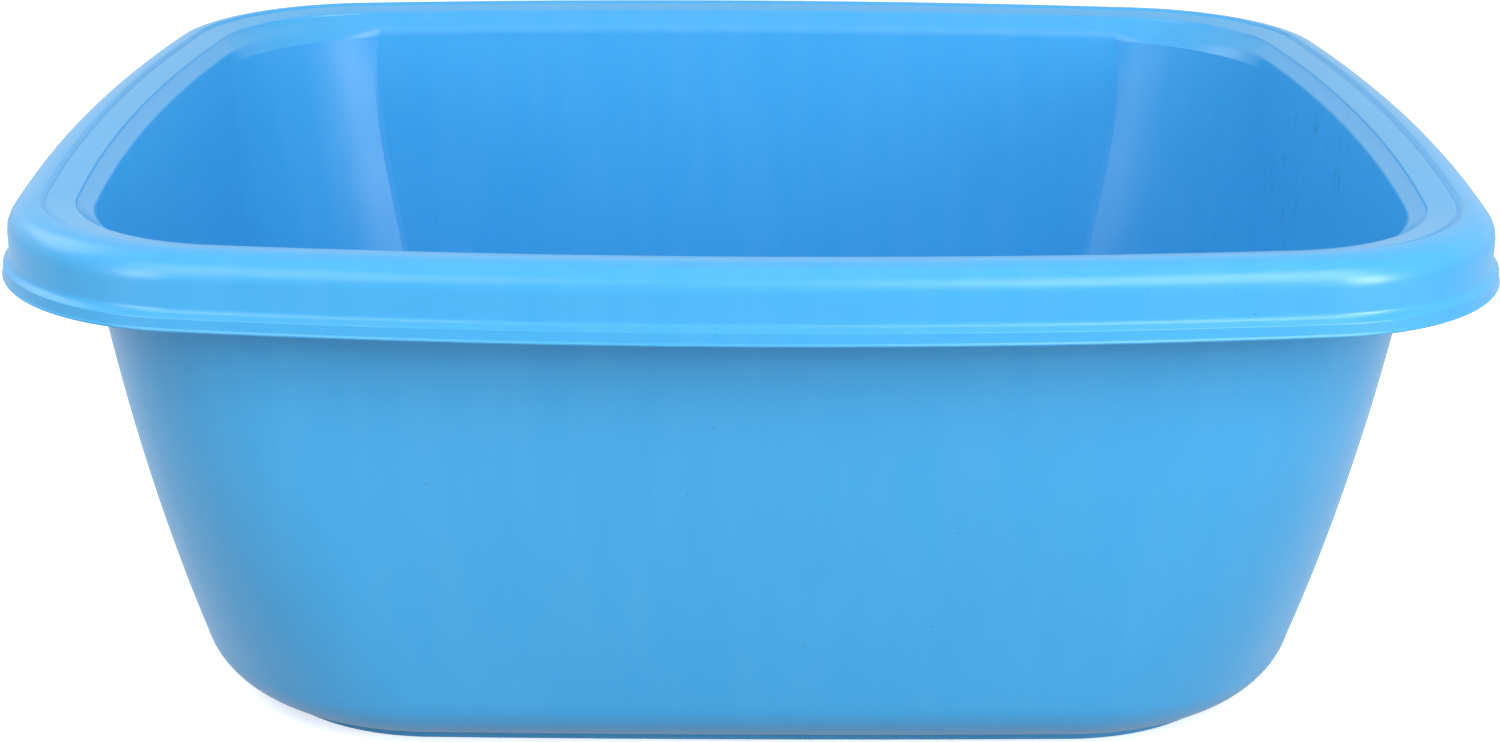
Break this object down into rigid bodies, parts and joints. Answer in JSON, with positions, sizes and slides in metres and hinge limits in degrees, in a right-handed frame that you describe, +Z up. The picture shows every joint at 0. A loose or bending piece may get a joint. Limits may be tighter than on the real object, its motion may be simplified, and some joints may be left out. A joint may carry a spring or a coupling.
{
  "type": "washing up bowl",
  "caption": "Rectangular washing up bowl with rounded corners, a rolled rim whose turned down edge serves as a grip, and a low foot ring",
  "frame": {"origin": "centre of the bowl's footprint, on the table it rests on", "axes": "+X along the long side, -Y the front, +Z up"},
  "size_m": [0.38, 0.315, 0.1465],
  "materials": {
    "blue_polypropylene": "satin moulded"
  },
  "bodies": {
    "root": {"floor": "blue_polypropylene", "foot_ring": "blue_polypropylene", "wall_right": "blue_polypropylene", "wall_back_right": "blue_polypropylene", "wall_back": "blue_polypropylene", "wall_back_left": "blue_polypropylene", "wall_left": "blue_polypropylene", "wall_front_left": "blue_polypropylene", "wall_front": "blue_polypropylene", "wall_front_right": "blue_polypropylene", "grip_right": "blue_polypropylene", "rim_back_right": "blue_polypropylene", "rim_back": "blue_polypropylene", "rim_back_left": "blue_polypropylene", "grip_left": "blue_polypropylene", "rim_front_left": "blue_polypropylene", "rim_front": "blue_polypropylene", "rim_front_right": "blue_polypropylene", "skirt_right": "blue_polypropylene", "skirt_back_right": "blue_polypropylene", "skirt_back": "blue_polypropylene", "skirt_back_left": "blue_polypropylene", "skirt_left": "blue_polypropylene", "skirt_front_left": "blue_polypropylene", "skirt_front": "blue_polypropylene", "skirt_front_right": "blue_polypropylene"}
  },
  "joints": []
}
